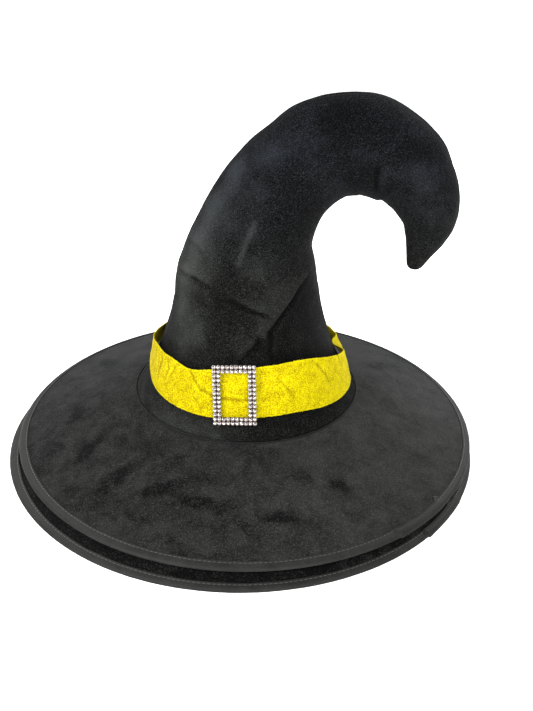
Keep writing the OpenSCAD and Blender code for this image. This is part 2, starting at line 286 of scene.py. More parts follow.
def crown_push(points, width):
    """How far the velvet stands off its smooth shape: broad dents, wrinkles and creases, in mm.

    Each crease is a narrow valley with a low ridge on each side, and a step that
    dies away from it. Near the band everything stays low, so that the bar runs clear.
    """
    freedom = np.clip((points[..., 2] - 62) / 26, 0, 1) * np.clip(width / 40, 0.1, 1)
    push = freedom * (1.0 * ripple(points, 62, 3) + 0.45 * ripple(points, 24, 4))
    push = push + 0.12 * ripple(points, 11, 5) * np.clip(width / 12, 0.3, 1)
    for line, depth, reach, step in crown_creases:
        away, side, along = line_distance(points, line)
        fade = np.clip(np.sin(math.pi * np.clip(along, 0.02, 0.98)), 0, 1) ** 0.6
        ridge = 0.42 * np.exp(-((away - 2.1 * reach) / (1.3 * reach)) ** 2)
        valley = ridge - np.exp(-(away / reach) ** 2)
        shelf = step * np.tanh(side * away / 1.4) * np.exp(-away / 11)
        push = push + fade * (depth * valley + shelf) * np.clip((points[..., 2] - 58) / 12, 0, 1)
    # Gathers just above the foot seam, where the cloth is eased in
    foot = np.clip((26 - points[..., 2]) / 10, 0, 1) * np.clip((points[..., 2] - crown_foot_z) / 3, 0, 1)
    angle = np.arctan2(points[..., 1], points[..., 0])
    return push + foot * 0.35 * np.sin(angle * 23 + points[..., 2] * 0.35 + 2 * np.sin(angle * 3))


def crown_points(rings, angles, inset):
    """Points of the crown's wall: an ellipse at each ring, pushed outwards, less the inset."""
    x, z, width, depth, nx, nz = (rings[:, k, None] for k in range(6))
    cos, sin = np.cos(angles), np.sin(angles)

    def at(w, d):
        return np.stack([x + w * cos * nx, d * sin + 0 * x, z + w * cos * nz], axis=-1)

    smooth = at(width, depth)
    off_seam = np.abs(sin) * depth
    groove = -0.45 * np.exp(-(off_seam / 1.5) ** 2) + 0.3 * np.exp(-((off_seam - 4) / 2) ** 2)
    push = crown_push(smooth, width) + groove * np.clip(width / 15, 0.2, 1)
    thin = push - inset
    return at(np.maximum(width + thin, 0.04), np.maximum(depth + thin, 0.04)), smooth


def put_mesh(name, points, faces, material, body, nodes=(), smooth=True):
    """Makes a piece from points in mm and faces, rides it on its body and hides the parts it replaces.

    If the solid's signed volume comes out negative, all its faces are turned round.
    """
    points = np.asarray(points, float).reshape(-1, 3)
    rows = faces.tolist() if isinstance(faces, np.ndarray) else faces
    volume = 0.0
    for size in {len(row) for row in rows}:
        same = np.array([row for row in rows if len(row) == size])
        for k in range(1, size - 1):
            volume += np.sum(points[same[:, 0]] * np.cross(points[same[:, k]], points[same[:, k + 1]]))
    if volume < 0:
        rows = [row[::-1] for row in rows]
    mesh = bpy.data.meshes.new(name)
    mesh.from_pydata((points * 0.001).tolist(), [], rows)
    mesh.polygons.foreach_set("use_smooth", [smooth] * len(mesh.polygons))
    mesh.materials.append(material)
    mesh.update()
    piece = bpy.data.objects.new(name, mesh)
    bpy.context.scene.collection.objects.link(piece)
    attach(piece, body)
    if nodes:
        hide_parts(*nodes)
    return piece


def mark(piece, name, values):
    """Stores one number a vertex on a piece, for its material to read."""
    layer = piece.data.attributes.new(name, "FLOAT", "POINT")
    layer.data.foreach_set("value", np.asarray(values, np.float32).ravel())


def loop_quads(rows, around, closed):
    """Quads between neighbouring rows of a grid of closed loops; closed joins the last row to the first."""
    i = np.arange(rows if closed else rows - 1)[:, None]
    j = np.arange(around)[None, :]
    here, there = i * around, (i + 1) % rows * around
    ahead = (j + 1) % around
    quads = np.broadcast_arrays(here + j, there + j, there + ahead, here + ahead)
    return np.stack(quads, axis=-1).reshape(-1, 4)


def crushed_velvet(name, deep, lit, painted_cool_sheen, cloud, shades, sparkle, sheen, pile_run):
    """Short pile pressed this way and that: a cloudy shade, fine flecks, and marks from an attribute that
    holds painted light and shade, and crushed pile on the brim.

    The shade is the cloud noise, that attribute and the flecks added up, and it
    goes from the deep colour to the lit one, which turns to a painted cool sheen high up.
    """
    material, tree, shader = new_material(name, {
        "Roughness": 0.85, "Specular IOR Level": 0.06, "Sheen Weight": sheen,
        "Sheen Roughness": 0.32, "Sheen Tint": srgb("#c9ccd2")})
    place = add_node(tree, "ShaderNodeTexCoord", {}).outputs["Object"]
    # The pile lies along the cloth's width, so its flecks are flat and wide
    lying = add_node(tree, "ShaderNodeMapping", {"Vector": place, "Scale": (1.0, 1.0, pile_run)}).outputs[0]
    clouds = add_node(tree, "ShaderNodeTexNoise",
        {"Vector": place, "Scale": 1 / cloud, "Detail": 7.0, "Roughness": 0.72, "Distortion": 0.5})
    cloudy = add_node(tree, "ShaderNodeMapRange", {"Value": clouds.outputs["Fac"],
        "From Min": 0.38, "From Max": 0.62, "To Min": shades[0], "To Max": shades[1]})
    # Pile flecks are about 0.3 mm; drawn at 1 mm so that they show
    flecks = add_node(tree, "ShaderNodeTexNoise",
        {"Vector": lying, "Scale": 1 / 0.0010, "Detail": 2.0, "Roughness": 0.7})
    flecky = add_node(tree, "ShaderNodeMapRange",
        {"Value": flecks.outputs["Fac"], "From Min": 0.5, "From Max": 0.72, "To Min": 0.0, "To Max": sparkle})
    crush_and_painted_light = add_node(tree, "ShaderNodeAttribute", {}, attribute_name="crush_and_painted_light")
    marked = add_node(tree, "ShaderNodeMath", {0: cloudy.outputs["Result"], 1: crush_and_painted_light.outputs["Fac"]},
        operation="ADD")
    shade = add_node(tree, "ShaderNodeMath", {0: marked.outputs[0], 1: flecky.outputs["Result"]},
        operation="ADD", use_clamp=True)
    # Painted cool sheen: high up, on the curl, the lit colour turns to a cool grey
    height = add_node(tree, "ShaderNodeSeparateXYZ", {"Vector": place}).outputs["Z"]
    sheen_height = add_node(tree, "ShaderNodeMapRange", {"Value": height, "From Min": 0.12, "From Max": 0.21})
    bright = add_node(tree, "ShaderNodeMix", {0: sheen_height.outputs["Result"], 6: srgb(lit), 7: srgb(painted_cool_sheen)},
        data_type="RGBA")
    colour = add_node(tree, "ShaderNodeMix", {0: shade.outputs[0], 6: srgb(deep), 7: bright.outputs[2]},
        data_type="RGBA")
    tree.links.new(colour.outputs[2], shader.inputs["Base Color"])
    bump = add_node(tree, "ShaderNodeBump",
        {"Strength": 0.8, "Distance": 0.0008, "Height": flecks.outputs["Fac"]})
    tree.links.new(bump.outputs["Normal"], shader.inputs["Normal"])
    return material


# Black polyester crushed velvet: almost no light back straight on, a cool grey edge
crown_velvet = crushed_velvet("black crushed velvet, crown", "#010101", "#3b3d3a", "#31353c",
    0.018, (-0.07, 0.07), 0.85, 0.02, 2.6)

ring_step = 1.8
half_arc = 128
crown_grid = crown_rings(ring_step)
# Painted highlights where the light catches the pile, and one band of painted shade where it is
# below zero: a line over the surface, its half width, and how much lighter it is painted there
painted_light_streaks = [
    ([(-42, -45, 83), (-30, -40, 125), (-14, -33, 165), (12, -25, 205)], 12.0, 0.10),
    ([(-48, -40, 66), (-38, -48, 78)], 9.0, 0.24),
    ([(-56, -32, 88), (-45, -28, 120), (-36, -24, 145), (-24, -20, 170), (-8, -16, 195)], 11.0, 0.36),
    ([(6, -38, 162), (0, -42, 148), (-5, -45, 134)], 2.0, 0.30),
    ([(-6, -66, 64), (8, -62, 77), (19, -57, 88), (34, -44, 106), (46, -26, 119)], 1.5, 0.22),
    ([(27, -46, 88), (42, -30, 104), (52, -14, 116)], 11.0, -0.08),
    ([(-66, -62, 12), (-44, -78, 14), (-18, -86, 12)], 9.0, 0.22),
    ([(118, -22, 190), (112, -14, 160)], 12.0, 0.08),
    ([(-30, 45, 90), (0, 44, 130), (28, 30, 190)], 10.0, 0.25),
]


def crown_panel(name, start, material, nodes):
    """Half of the crown's wall: each ring runs along the outer skin and back along the inner one.

    Its attribute holds painted light: highlights along the streaks and on what stands proud,
    painted shade in the creases, and a painted shade that deepens from the left to the right of the upright
    part.
    """
    angles = np.radians(start + np.linspace(0, 180, half_arc + 1))
    outer, smooth = crown_points(crown_grid, angles, 0.0)
    inner, _ = crown_points(crown_grid, angles, crown_t)
    loops = np.concatenate([outer, inner[:, ::-1]], axis=1)
    rings, around = loops.shape[:2]
    faces = loop_quads(rings, around, False).tolist()
    base = (rings - 1) * around
    for j in range(half_arc):
        cap = [j, j + 1, around - 2 - j, around - 1 - j]
        faces.append(cap)
        faces.append([base + v for v in cap[::-1]])
    piece = put_mesh(name, loops, faces, material, "hat", nodes)
    crush_and_painted_light = np.zeros(smooth.shape[:2])
    for line, reach, strength in painted_light_streaks:
        crush_and_painted_light += strength * np.exp(-(line_distance(smooth, line)[0] / reach) ** 2)
    push = crown_push(smooth, crown_grid[:, 2, None])
    # Painted highlights on what stands proud and painted shade in the dents
    crush_and_painted_light += 0.15 * np.clip(push, -1.5, 1.5)
    # Painted shade along the bottom of each crease
    for line, depth, reach, step in crown_creases:
        away, side, along = line_distance(smooth, line)
        crush_and_painted_light -= 0.16 * depth * np.exp(-(away / 1.3) ** 2) * np.clip(np.sin(math.pi * along) * 2, 0, 1)
    # Painted shade across to the right of the upright part, away from the main lamp
    across = np.cos(angles)[None, :] * np.clip((190 - smooth[..., 2]) / 40, 0, 1)
    crush_and_painted_light -= 0.03 + 0.07 * across
    mark(piece, "crush_and_painted_light", np.concatenate([crush_and_painted_light, crush_and_painted_light[:, ::-1]], axis=1))
    return piece


front_panel = crown_panel("crown_front", 180, crown_velvet, ["crown_front_panel"])

# ---- Crown back panel -------------------------------------------------------
# The other half of the cone, cut from the same velvet and sewn to the front one
# by its edges. It has its own creases, which are fewer and softer.

back_panel = crown_panel("crown_back", 0, crown_velvet, ["crown_back_panel"])

# ---- Crown seam thread ------------------------------------------------------
# Two lines of black polyester thread inside the wall, along the outer and the
# inner line of the curl, where the panels' turnings are sewn together.


def whole_turn(count):
    """Angles of evenly spaced points round a whole turn, in radians."""
    return np.linspace(0, 2 * math.pi, count, endpoint=False)


# Spun polyester sewing thread: dull black, with a twist too fine to see
black_thread, tree, shader = new_material("black polyester thread", {
    "Base Color": srgb("#08080a"), "Roughness": 0.7, "Specular IOR Level": 0.2, "Sheen Weight": 0.03})
place = add_node(tree, "ShaderNodeTexCoord", {}).outputs["Object"]
twist = add_node(tree, "ShaderNodeTexNoise", {"Vector": place, "Scale": 1 / 0.0006, "Detail": 1.0})
bump = add_node(tree, "ShaderNodeBump", {"Strength": 0.3, "Distance": 0.0001, "Height": twist.outputs["Fac"]})
tree.links.new(bump.outputs["Normal"], shader.inputs["Normal"])

thread_r = 0.2
thread_sides = 6
thread_gap = 0.1
tip_rings = 30
sweatband_h = 24.0
first_inside = int(np.argmax(crown_grid[:, 1] > sweatband_h + thread_r))
thread_grid = crown_grid[first_inside:-tip_rings]
turn = whole_turn(thread_sides)
thread_points = []


def closed_stack(loops):
    """Faces of a stack of closed loops, with one flat face on each end."""
    rings, around = loops.shape[:2]
    faces = loop_quads(rings, around, False).tolist()
    faces.append(list(range(around - 1, -1, -1)))
    faces.append([(rings - 1) * around + k for k in range(around)])
    return faces


def repeat_faces(one, count, points_each):
    """The faces of one small shape, repeated for each copy of it."""
    return [[v + k * points_each for v in face] for k in range(count) for face in one]


for side in (0.0, math.pi):
    core, _ = crown_points(thread_grid, np.array([side]), crown_t + thread_gap + thread_r)
    nx, nz = thread_grid[:, 4, None], thread_grid[:, 5, None]
    across = thread_r * np.cos(turn)
    tube = np.stack([core[..., 0] + across * nx, core[..., 1] + thread_r * np.sin(turn) + 0 * nx,
        core[..., 2] + across * nz], axis=-1)
    thread_points.append(tube.reshape(-1, 3))
thread_faces = repeat_faces(closed_stack(tube), 2, len(thread_points[0]))
put_mesh("crown_seam_stitching", np.concatenate(thread_points), thread_faces, black_thread, "hat",
    ["crown_seam_thread"])

# ---- Crown lining -----------------------------------------------------------
# A bag of thin black taffeta inside the crown, from the sweatband's top edge up
# to a closed top below the filling, sewn in with the sweatband.


def two_tone(name, constants, kind, pattern, dark, light, bump=None, matt=None, output="Fac", **settings):
    """A finish that runs from a dark to a light colour by one pattern.

    The pattern may also raise the surface, by bump's strength and height in metres,
    and set the roughness, from matt's first value to its second.
    """
    material, tree, shader = new_material(name, constants)
    place = add_node(tree, "ShaderNodeTexCoord", {}).outputs["Object"]
    value = add_node(tree, kind, {"Vector": place, **pattern}, **settings).outputs[output]
    tone = add_node(tree, "ShaderNodeMix", {0: value, 6: srgb(dark), 7: srgb(light)}, data_type="RGBA")
    tree.links.new(tone.outputs[2], shader.inputs["Base Color"])
    if bump:
        raised = add_node(tree, "ShaderNodeBump", {"Strength": bump[0], "Distance": bump[1], "Height": value})
        tree.links.new(raised.outputs["Normal"], shader.inputs["Normal"])
    if matt:
        dull = add_node(tree, "ShaderNodeMapRange", {"Value": value, "To Min": matt[0], "To Max": matt[1]})
        tree.links.new(dull.outputs["Result"], shader.inputs["Roughness"])
    return material


# A wave pattern at a scale of 1 repeats each 0.314 metres
wave_length = 0.314
# Polyester taffeta: plain weave of fine bright yarn, so a soft gloss over black.
# Yarns are 0.2 mm apart; drawn at 0.8 mm so that the weave shows
taffeta = two_tone("black polyester taffeta",
    {"Roughness": 0.42, "Specular IOR Level": 0.5, "Sheen Weight": 0.1},
    "ShaderNodeTexWave", {"Scale": wave_length / 0.0008, "Distortion": 1.0}, "#0b0b0d", "#1d1d20",
    bump=(0.15, 0.0002), wave_type="BANDS", bands_direction="Z")

lining_t = 0.5
lining_gap = 0.8
lining_top = 98.0
full_turn = whole_turn(128)
lining_grid = crown_grid[first_inside:][::2]
lining_grid = lining_grid[lining_grid[:, 1] < lining_top]

inner_skin, _ = crown_points(lining_grid, full_turn, crown_t + lining_gap + lining_t)
outer_skin, _ = crown_points(lining_grid, full_turn, crown_t + lining_gap)
lid = outer_skin[-1:] + np.array([0, 0, lining_t])
loops = np.concatenate([inner_skin[::-1], outer_skin, lid])
lining = put_mesh("lining", loops, closed_stack(loops), taffeta, "hat", ["crown_lining"])

# ---- Curl filling -----------------------------------------------------------
# Loose polyester fibre pushed into the curl through the open crown before the
# lining went in. It keeps the curl round and standing.

# Polyester fibrefill: springy white crimped fibre, matt and lumpy
fibrefill = two_tone("polyester fibrefill", {"Roughness": 0.95, "Sheen Weight": 0.4},
    "ShaderNodeTexNoise", {"Scale": 1 / 0.004, "Detail": 4.0}, "#bdb9ae", "#e6e3da", bump=(0.6, 0.002))

filling_lift = 5.0
filling_gap = 1.1
empty_tip_rings = 24
filling_start = int(np.argmax(crown_grid[:, 1] > lining_top + filling_lift))
filling_grid = crown_grid[filling_start:-empty_tip_rings][::2]
loops, smooth = crown_points(filling_grid, full_turn[::2], crown_t + filling_gap)
centre = np.stack([filling_grid[:, 0], 0 * filling_grid[:, 0], filling_grid[:, 1]], axis=1)[:, None]
loops = centre + (loops - centre) * (0.985 + 0.012 * ripple(smooth, 17, 8)[..., None])
filling = put_mesh("curl_filling", loops, closed_stack(loops), fibrefill, "hat", ["curl_wadding"])

# ---- Sweatband --------------------------------------------------------------
# A black grosgrain ribbon round the head opening, sewn in at its lower edge and
# turned up against the inside of the crown.


def turned(profile, theta):
    """A closed profile of (radius, height) carried round the hat's axis: rows by angle."""
    r, z = np.asarray(profile, float).T
    return np.stack([r * np.cos(theta)[:, None], r * np.sin(theta)[:, None],
        np.broadcast_to(z, (len(theta), len(z)))], axis=-1)


# Rayon grosgrain: fat ribs across the ribbon, dull black, lighter and darker by turns across the ribs
grosgrain, tree, shader = new_material("black rayon grosgrain", {"Roughness": 0.7, "Sheen Weight": 0.25})
place = add_node(tree, "ShaderNodeAttribute", {}, attribute_name="rib")
rib_wave = add_node(tree, "ShaderNodeMath", {0: place.outputs["Fac"]}, operation="SINE")
ribbed = add_node(tree, "ShaderNodeMapRange",
    {"Value": rib_wave.outputs[0], "From Min": -1.0, "From Max": 1.0})
tone = add_node(tree, "ShaderNodeMix", {0: ribbed.outputs["Result"], 6: srgb("#09090a"), 7: srgb("#242426")},
    data_type="RGBA")
tree.links.new(tone.outputs[2], shader.inputs["Base Color"])

sweatband_t = 0.5
rib_count = 360
rib_depth = 0.03
wall_gap = 0.4
around = whole_turn(4 * rib_count)
climb = np.linspace(seam_z, sweatband_h, 8)
sweat_out = crown_t + wall_gap
sweat_profile = [(head_r, 0.0), (head_r, seam_z / 2),
    *((crown_r(z) - sweat_out - sweatband_t, z) for z in climb),
    *((crown_r(z) - sweat_out, z) for z in climb[::-1]), (head_r + sweatband_t, 0.0)]
loops = turned(sweat_profile, around)
# Four points a rib: each rib rises and falls as a cosine round the ribbon
ribs = np.tile(np.arange(4 * rib_count) % 4 * (math.pi / 2), (len(sweat_profile), 1)).T
depth = rib_depth * (1 - np.cos(ribs)) / 2
loops[..., 0] += depth * np.cos(around)[:, None]
loops[..., 1] += depth * np.sin(around)[:, None]
sweatband = put_mesh("sweatband_ribbon", loops, loop_quads(*loops.shape[:2], True), grosgrain, "hat",
    ["sweatband"])
mark(sweatband, "rib", ribs + math.pi / 4)

# ---- Opening tape and crown thread ------------------------------------------
# A woven cotton tape folded over the raw edges of both brims round the head
# opening, and the heavy waxed thread that holds the crown to the brims.

# Cotton twill tape: matt black, faint diagonal lines
cotton_tape = two_tone("black cotton twill tape", {"Roughness": 0.9, "Sheen Weight": 0.2},
    "ShaderNodeTexWave", {"Scale": wave_length / 0.0009, "Distortion": 0.5}, "#0d0d0e", "#1b1b1c",
    wave_type="BANDS", bands_direction="DIAGONAL")

velvet_t, foam_t, backing_t = 0.7, 1.4, 0.7
brim_t = velvet_t + foam_t + backing_t
brim_gap = 5.0
binding_t = 0.45
rim_gap = 0.5
lower_r = upper_r + 3.5
shift = np.array([-3.3, -6.5])
shift_len = 5.7
lower_start = seam_z - brim_t - brim_gap
# The lower brim starts lower and falls less steeply, so that its bound edge lies
# close under the upper one's. The trim makes it half a percent less steep again.
lower_fall = brim_fall - brim_gap + 2 * binding_t + rim_gap
slope_trim = 101 / 101.5
lower_slope = lower_fall / (upper_r - shift_len - seam_r) * slope_trim
opening_r = 91.3
tape_t = 0.4
tape_r = opening_r - 0.2
tape_low = lower_start - brim_t - lower_slope * shift_len
tape_high = seam_z
tape_profile = [(tape_r - tape_t, tape_low), (tape_r - tape_t, tape_high), (tape_r, tape_high),
    (tape_r, tape_low)]
loops = turned(tape_profile, whole_turn(256))
tape = put_mesh("opening_edge_tape", loops, loop_quads(*loops.shape[:2], True), cotton_tape, "hat",
    ["opening_tape"])

cord_r = 0.4
cord_gap = 0.2
cord_twists = 240
cord_at = seam_r + cord_r + cord_gap
cord_z = seam_z - upper_slope * (cord_at - seam_r) + cord_r + cord_gap
strands, twisted = whole_turn(10), whole_turn(1600)[:, None]
# Two strands twisted together, one turn each 2.4 mm: the radius swells twice a turn
swell = cord_r * (0.86 + 0.14 * np.cos(2 * (strands - twisted * cord_twists)))
r = cord_at + swell * np.cos(strands)
loops = np.stack([r * np.cos(twisted), r * np.sin(twisted), cord_z + swell * np.sin(strands)], axis=-1)
put_mesh("crown_cord", loops, loop_quads(*loops.shape[:2], True), black_thread, "hat",
    ["crown_brim_thread"])

# ---- Upper brim -------------------------------------------------------------
# A flat ring of velvet bonded to thin foam and a woven backing, shaped to a
# shallow cone. It lifts and falls a little round its edge, as bonded cloth does.


def rim_wave(theta, r):
    """Height of the soft wave that both brims share: none at the opening, up to 1.2 mm at the edge."""
    reach = np.clip((r - seam_r) / (upper_r - seam_r), 0, 1.05) ** 1.6
    return reach * 0.6 * (1 + 0.6 * np.sin(2 * theta + 0.7) + 0.4 * np.sin(3 * theta - 1.1))


edge_squeeze = 0.5
brim_angles = 384
under_rings = 8


def squeezed(rise, r, edge):
    """Depth below the velvet's face, pressed to half near the edge, where the binding is pulled tight."""
    near = np.clip((r - (edge - 11)) / 8, 0, 1)
    return np.where(rise < 0, rise * (1 - (1 - edge_squeeze) * near * near * (3 - 2 * near)), rise)


def upper_point(r, theta, rise):
    """A point of the upper brim at radius r, rise above its smooth velvet cone."""
    z = seam_z - upper_slope * (r - seam_r) + squeezed(rise, r, upper_r) + rim_wave(theta, r)
    return np.stack(np.broadcast_arrays(r * np.cos(theta), r * np.sin(theta), z), axis=-1)


def lower_point(r, theta, rise):
    """A point of the lower brim: its opening is on the axis and its edge stands off to the front left."""
    part = np.clip((r - opening_r) / (lower_r - opening_r), 0, 1.05)
    x, y = shift[0] * part + r * np.cos(theta), shift[1] * part + r * np.sin(theta)
    from_middle = np.hypot(x - shift[0], y - shift[1])
    z = lower_start - lower_slope * (from_middle - seam_r) + squeezed(rise, r, lower_r)
    z = z - 1.9 * part ** 3 + rim_wave(theta, r)
    return np.stack(np.broadcast_arrays(x, y, z), axis=-1)


def brim_layer(name, place_point, edge, low, high, count, material, node, plump=0.0):
    """One bonded layer: its top from the opening to the edge, and its underside back again.

    Its top swells by the sum of two ripples, which dies away at the opening and the edge.
    """
    theta = whole_turn(brim_angles)[:, None]
    over = np.linspace(opening_r, edge, count)[None, :]
    under = np.linspace(edge, opening_r, under_rings)[None, :]
    flat_points = np.stack([over * np.cos(theta), over * np.sin(theta), 0 * over * theta], axis=-1)
    swell = (ripple(flat_points, 34, 21) + 0.5 * ripple(flat_points, 15, 22)) * plump
    swell = swell * np.clip((edge - 8 - over) / 12, 0, 1) * np.clip((over - opening_r) / 8, 0, 1)
    top = place_point(over, theta, high + swell)
    bottom = place_point(under, theta, low + 0 * theta)
    loops = np.concatenate([top, bottom], axis=1)
    piece = put_mesh(name, loops, loop_quads(*loops.shape[:2], True), material, "hat", [node])
    return piece, flat_points, swell


# The same black velvet, bonded flat: paler, as painted light on a brim that faces the lamps, with dark ovals
# where its pile was crushed
brim_velvet = crushed_velvet("black crushed velvet, brim", "#030303", "#3a3a39", "#3a3a3a",
    0.016, (0.15, 0.42), 0.65, 0.08, 1.3)

# Places where the pile was pressed flat and dark: centre on the brim, reach along and across, turn
crush_marks = [((-92, -112), 20, 7, 35), ((-62, -128), 16, 5, 10), ((-118, -76), 15, 6, 60),
    ((-30, -140), 18, 5, -8), ((-140, -30), 14, 6, 80), ((28, -150), 15, 5, 6), ((70, -118), 12, 5, -30),
    ((120, 60), 20, 7, 50), ((-40, 140), 22, 7, 15), ((60, 132), 16, 6, -20), ((-130, 62), 18, 6, -60)]


def brim_crush_and_painted_light(flat_points, swell):
    """Dark ovals where the pile is pressed, a painted sheen that pales the ground to the right, and painted
    light on each low swell.
    """
    x, y = flat_points[..., 0], flat_points[..., 1]
    across = x + 0.5 * np.minimum(y, 0) - 0.8 * np.maximum(y, 0)
    crush_and_painted_light = 0.35 * swell + 0.20 * np.clip(across / 150, -0.5, 1)
    ragged = 1 + 0.5 * ripple(flat_points, 9, 51)
    for (mx, my), long, short, turn in crush_marks:
        c, s = math.cos(math.radians(turn)), math.sin(math.radians(turn))
        u, v = (x - mx) * c + (y - my) * s, -(x - mx) * s + (y - my) * c
        crush_and_painted_light = crush_and_painted_light - 0.30 * ragged * np.exp(-((u / long) ** 2 + (v / short) ** 2) ** 1.5)
    return crush_and_painted_light


velvet_inset = 1.9
foam_inset = 0.9
velvet_edge = upper_r - velvet_inset
upper_velvet, flat_points, swell = brim_layer("upper_velvet", upper_point, velvet_edge, -velvet_t, 0.0, 72,
    brim_velvet, "upper_brim_velvet", 0.16)
unmarked_underside = np.zeros((brim_angles, under_rings))
mark(upper_velvet, "crush_and_painted_light", np.concatenate([brim_crush_and_painted_light(flat_points, swell), unmarked_underside], axis=1))

# Polyurethane foam sheet: fine open cells, dark grey
foam = two_tone("grey polyurethane foam", {"Roughness": 0.95}, "ShaderNodeTexVoronoi",
    {"Scale": 1 / 0.0008}, "#1e1e1f", "#3b3b3c", output="Distance")

upper_foam, _, _ = brim_layer("upper_foam", upper_point, upper_r - foam_inset, -velvet_t - foam_t, -velvet_t,
    8, foam, "upper_brim_foam")

# Woven polyester backing: plain weave, matt charcoal black
woven_backing, tree, shader = new_material("black woven polyester backing",
    {"Roughness": 0.8, "Sheen Weight": 0.15})
place = add_node(tree, "ShaderNodeTexCoord", {}).outputs["Object"]
# Yarns are 0.5 mm apart; drawn at 1.2 mm so that they show
yarns = {"Vector": place, "Scale": wave_length / 0.0012, "Distortion": 0.6}
warp, weft = (add_node(tree, "ShaderNodeTexWave", yarns, wave_type="BANDS", bands_direction=way)
    for way in "XY")
weave = add_node(tree, "ShaderNodeMath", {0: warp.outputs["Fac"], 1: weft.outputs["Fac"]},
    operation="MULTIPLY")
tone = add_node(tree, "ShaderNodeMix", {0: weave.outputs[0], 6: srgb("#0f0f11"), 7: srgb("#303033")},
    data_type="RGBA")
tree.links.new(tone.outputs[2], shader.inputs["Base Color"])
bump = add_node(tree, "ShaderNodeBump", {"Strength": 0.3, "Distance": 0.0002, "Height": weave.outputs[0]})
tree.links.new(bump.outputs["Normal"], shader.inputs["Normal"])

upper_backing, _, _ = brim_layer("upper_backing", upper_point, velvet_edge, -brim_t, -velvet_t - foam_t,
    24, woven_backing, "upper_brim_backing")

# ---- Upper brim wire --------------------------------------------------------
# A galvanised steel wire, pushed into the foam near the edge, that keeps the
# brim's round.

# Galvanised wire: dull zinc grey
zinc_wire = two_tone("galvanised steel wire", {"Metallic": 1.0}, "ShaderNodeTexNoise",
    {"Scale": 1 / 0.003, "Detail": 3.0}, "#7d8184", "#a4a8aa", matt=(0.35, 0.6))
wire_r = 0.4
wire_inset = 1.6


def brim_wire(name, place_point, edge, node):
    """A round wire carried round the brim in the middle of the foam."""
    turn = whole_turn(10)[None, :]
    theta = whole_turn(256)[:, None]
    core = edge - binding_t - wire_inset
    depth = -velvet_t - foam_t / 2 + wire_r / edge_squeeze * np.sin(turn)
    loops = place_point(core + wire_r * np.cos(turn), theta, depth)
    return put_mesh(name, loops, loop_quads(*loops.shape[:2], True), zinc_wire, "hat", [node])


brim_wire("upper_wire", upper_point, upper_r, "upper_brim_hoop")

# ---- Upper brim binding -----------------------------------------------------
# A strip of grey-black coated cloth folded over the brim's edge and sewn down
# near its inner edge. Its end is folded under and laps over the start at the
# right of the front.

# Polyurethane-coated polyester: a faint leathery gloss over grey, fine pores
coated_cloth, tree, shader = new_material("grey coated polyester binding", {
    "Specular IOR Level": 0.18, "Sheen Weight": 0.02, "Sheen Roughness": 0.4})
place = add_node(tree, "ShaderNodeTexCoord", {}).outputs["Object"]
pores = add_node(tree, "ShaderNodeTexNoise", {"Vector": place, "Scale": 1 / 0.0009, "Detail": 2.0})
scuffs = add_node(tree, "ShaderNodeTexNoise", {"Vector": place, "Scale": 1 / 0.012, "Detail": 4.0})
mixed = add_node(tree, "ShaderNodeMath", {0: pores.outputs["Fac"], 1: scuffs.outputs["Fac"]}, operation="ADD")
grey = add_node(tree, "ShaderNodeMapRange", {"Value": mixed.outputs[0], "From Min": 0.75, "From Max": 1.25})
tone = add_node(tree, "ShaderNodeMix", {0: grey.outputs["Result"], 6: srgb("#0e0e0d"), 7: srgb("#20201e")},
    data_type="RGBA")
tree.links.new(tone.outputs[2], shader.inputs["Base Color"])
matt = add_node(tree, "ShaderNodeMapRange", {"Value": scuffs.outputs["Fac"], "To Min": 0.5, "To Max": 0.72})
tree.links.new(matt.outputs["Result"], shader.inputs["Roughness"])
bump = add_node(tree, "ShaderNodeBump",
    {"Strength": 0.35, "Distance": 0.0003, "Height": pores.outputs["Fac"]})
tree.links.new(bump.outputs["Normal"], shader.inputs["Normal"])

# Width folded over the top in mm, and how much wider it is at the left. In
# degrees round from +X: where the lap starts, and where its corner sticks out.
upper_binding_w, upper_binding_more = 6.2, 0.9
upper_lap_at, upper_corner_at = 305.5, 322
wide_at, wide_spread = 188, 34
binding_angles = 1080


def wider(theta, most):
    """How much wider the binding was folded at the left than at the front, in mm: a smooth hump by angle."""
    away = (np.degrees(theta) - wide_at + 180) % 360 - 180
    return most * np.exp(-(away / wide_spread) ** 2)


